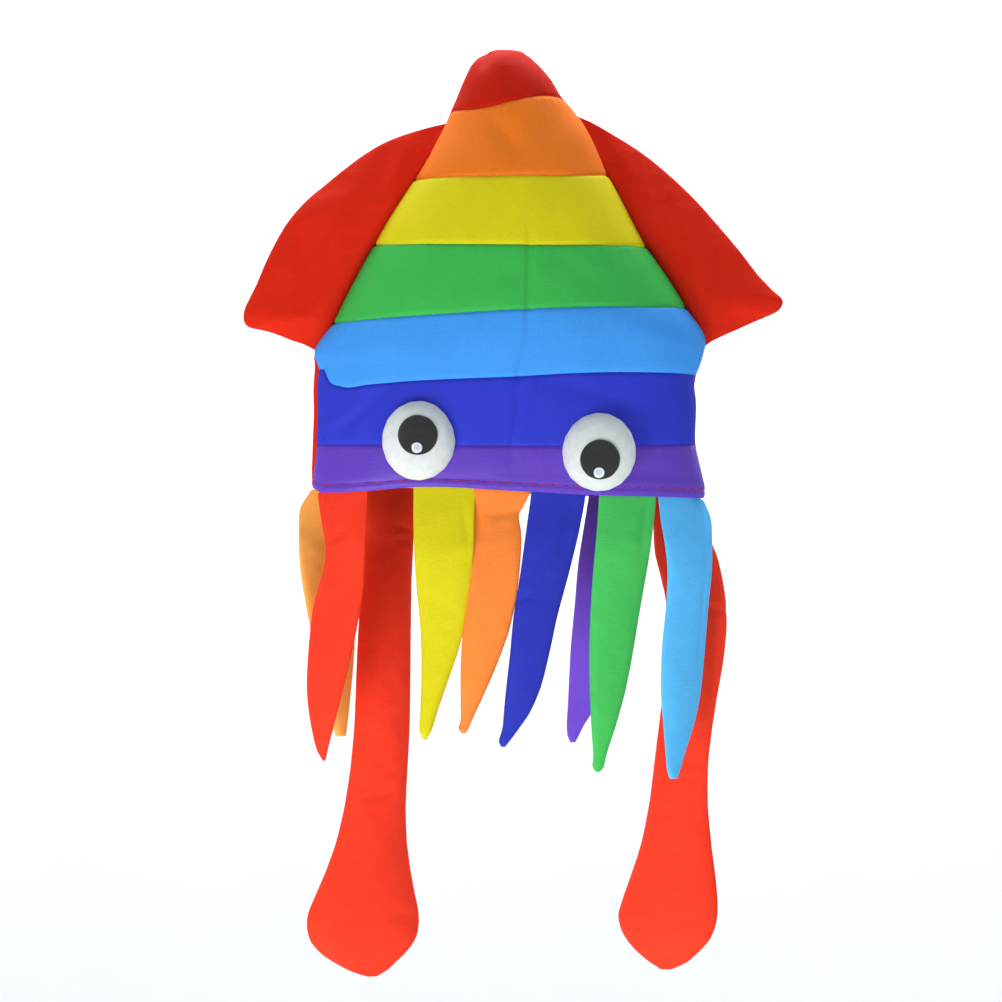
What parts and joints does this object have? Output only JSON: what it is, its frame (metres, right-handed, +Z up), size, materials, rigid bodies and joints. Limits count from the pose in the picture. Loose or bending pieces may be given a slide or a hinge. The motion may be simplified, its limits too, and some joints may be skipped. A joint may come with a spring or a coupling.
{
  "type": "soft squid hat",
  "caption": "Soft costume hat shaped as a squid: a striped cone body, side fins, stuffed eyes, short claw-shaped arms and long paddle-ended tentacles round the head opening.",
  "frame": {"origin": "middle of the head opening, at the height of the hem's lower edge", "axes": "+Z up from the hem to the point of the hat, -Y the way the eyes face, +X to the right as seen from the front"},
  "size_m": [0.3832, 0.1206, 0.6453],
  "materials": {
    "cloth_red": "matte",
    "cloth_orange": "matte",
    "cloth_yellow": "matte",
    "cloth_green": "matte",
    "cloth_sky": "matte",
    "cloth_royal": "matte",
    "cloth_violet": "matte",
    "lining_cloth": "matte",
    "fibre_filling": "matte",
    "felt_white": "matte",
    "felt_black": "matte",
    "cloth_navy": "matte",
    "cloth_amber": "matte",
    "cloth_purple": "matte"
  },
  "bodies": {
    "hat_body": {"tip_front": "cloth_red", "stripe_orange": "cloth_orange", "stripe_yellow": "cloth_yellow", "stripe_green": "cloth_green", "stripe_sky": "cloth_sky", "stripe_royal": "cloth_royal", "stripe_violet": "cloth_violet", "back_panel": "cloth_red", "crown_liner": "lining_cloth", "crown_filling": "fibre_filling", "hem_facing": "lining_cloth", "eye_left_cover": "felt_white", "eye_left_filling": "fibre_filling", "eye_left_pupil": "felt_black", "eye_left_highlight": "felt_white", "eye_right_cover": "felt_white", "eye_right_filling": "fibre_filling", "eye_right_pupil": "felt_black", "eye_right_highlight": "felt_white"},
    "fin_left": {"fin_left_front": "cloth_red", "fin_left_back": "cloth_red", "fin_left_filling": "fibre_filling"},
    "fin_right": {"fin_right_front": "cloth_red", "fin_right_back": "cloth_red", "fin_right_filling": "fibre_filling"},
    "arm_red": {"arm_red_outer": "cloth_red", "arm_red_inner": "cloth_red"},
    "arm_yellow": {"arm_yellow_outer": "cloth_yellow", "arm_yellow_inner": "cloth_yellow"},
    "arm_orange": {"arm_orange_outer": "cloth_orange", "arm_orange_inner": "cloth_orange"},
    "arm_navy": {"arm_navy_outer": "cloth_navy", "arm_navy_inner": "cloth_navy"},
    "arm_green": {"arm_green_outer": "cloth_green", "arm_green_inner": "cloth_green"},
    "arm_sky": {"arm_sky_outer": "cloth_sky", "arm_sky_inner": "cloth_sky"},
    "arm_amber": {"arm_amber_outer": "cloth_amber", "arm_amber_inner": "cloth_amber"},
    "arm_purple": {"arm_purple_outer": "cloth_purple", "arm_purple_inner": "cloth_purple"},
    "tentacle_left": {"tentacle_left_outer": "cloth_red", "tentacle_left_inner": "cloth_red", "tentacle_left_filling": "fibre_filling"},
    "tentacle_right": {"tentacle_right_outer": "cloth_red", "tentacle_right_inner": "cloth_red", "tentacle_right_filling": "fibre_filling"}
  },
  "joints": [
    {"name": "fin_left_seam", "type": "hinge", "parent": "hat_body", "child": "fin_left", "pos_m": [-0.09757, 0, 0.18367], "axis": [0.4895, 0, 0.872], "range_deg": [-35, 35], "stiffness_Nm_per_rad": 0.02},
    {"name": "fin_right_seam", "type": "hinge", "parent": "hat_body", "child": "fin_right", "pos_m": [0.09757, 0, 0.18367], "axis": [0.4895, 0, -0.872], "range_deg": [-35, 35], "stiffness_Nm_per_rad": 0.02},
    {"name": "arm_red_root", "type": "hinge", "parent": "hat_body", "child": "arm_red", "pos_m": [-0.11701, -0.02219, -0.005], "axis": [-0.8739, 0.486, 0], "range_deg": [-3, 85]},
    {"name": "arm_yellow_root", "type": "hinge", "parent": "hat_body", "child": "arm_yellow", "pos_m": [-0.04606, -0.04138, -0.005], "axis": [-0.9932, 0.1166, 0], "range_deg": [-3, 85]},
    {"name": "arm_orange_root", "type": "hinge", "parent": "hat_body", "child": "arm_orange", "pos_m": [-0.00605, -0.04396, -0.005], "axis": [-0.9999, 0.0145, 0], "range_deg": [-3, 85]},
    {"name": "arm_navy_root", "type": "hinge", "parent": "hat_body", "child": "arm_navy", "pos_m": [0.03355, -0.04263, -0.005], "axis": [-0.9966, -0.0827, 0], "range_deg": [-3, 85]},
    {"name": "arm_green_root", "type": "hinge", "parent": "hat_body", "child": "arm_green", "pos_m": [0.08099, -0.03528, -0.005], "axis": [-0.9719, -0.2353, 0], "range_deg": [-3, 85]},
    {"name": "arm_sky_root", "type": "hinge", "parent": "hat_body", "child": "arm_sky", "pos_m": [0.12196, -0.01917, -0.005], "axis": [-0.8305, -0.5571, 0], "range_deg": [-3, 85]},
    {"name": "arm_amber_root", "type": "hinge", "parent": "hat_body", "child": "arm_amber", "pos_m": [-0.12801, 0.01442, -0.005], "axis": [0.7301, 0.6833, 0], "range_deg": [-3, 85]},
    {"name": "arm_purple_root", "type": "hinge", "parent": "hat_body", "child": "arm_purple", "pos_m": [0.07356, 0.03695, -0.005], "axis": [0.9787, -0.2054, 0], "range_deg": [-3, 85]},
    {"name": "tentacle_left_root", "type": "hinge", "parent": "hat_body", "child": "tentacle_left", "pos_m": [-0.08497, 0.03427, -0.005], "axis": [0.9675, 0.2529, 0], "range_deg": [-3, 85]},
    {"name": "tentacle_right_root", "type": "hinge", "parent": "hat_body", "child": "tentacle_right", "pos_m": [0.11701, 0.02219, -0.005], "axis": [0.8739, -0.486, 0], "range_deg": [-3, 85]}
  ]
}
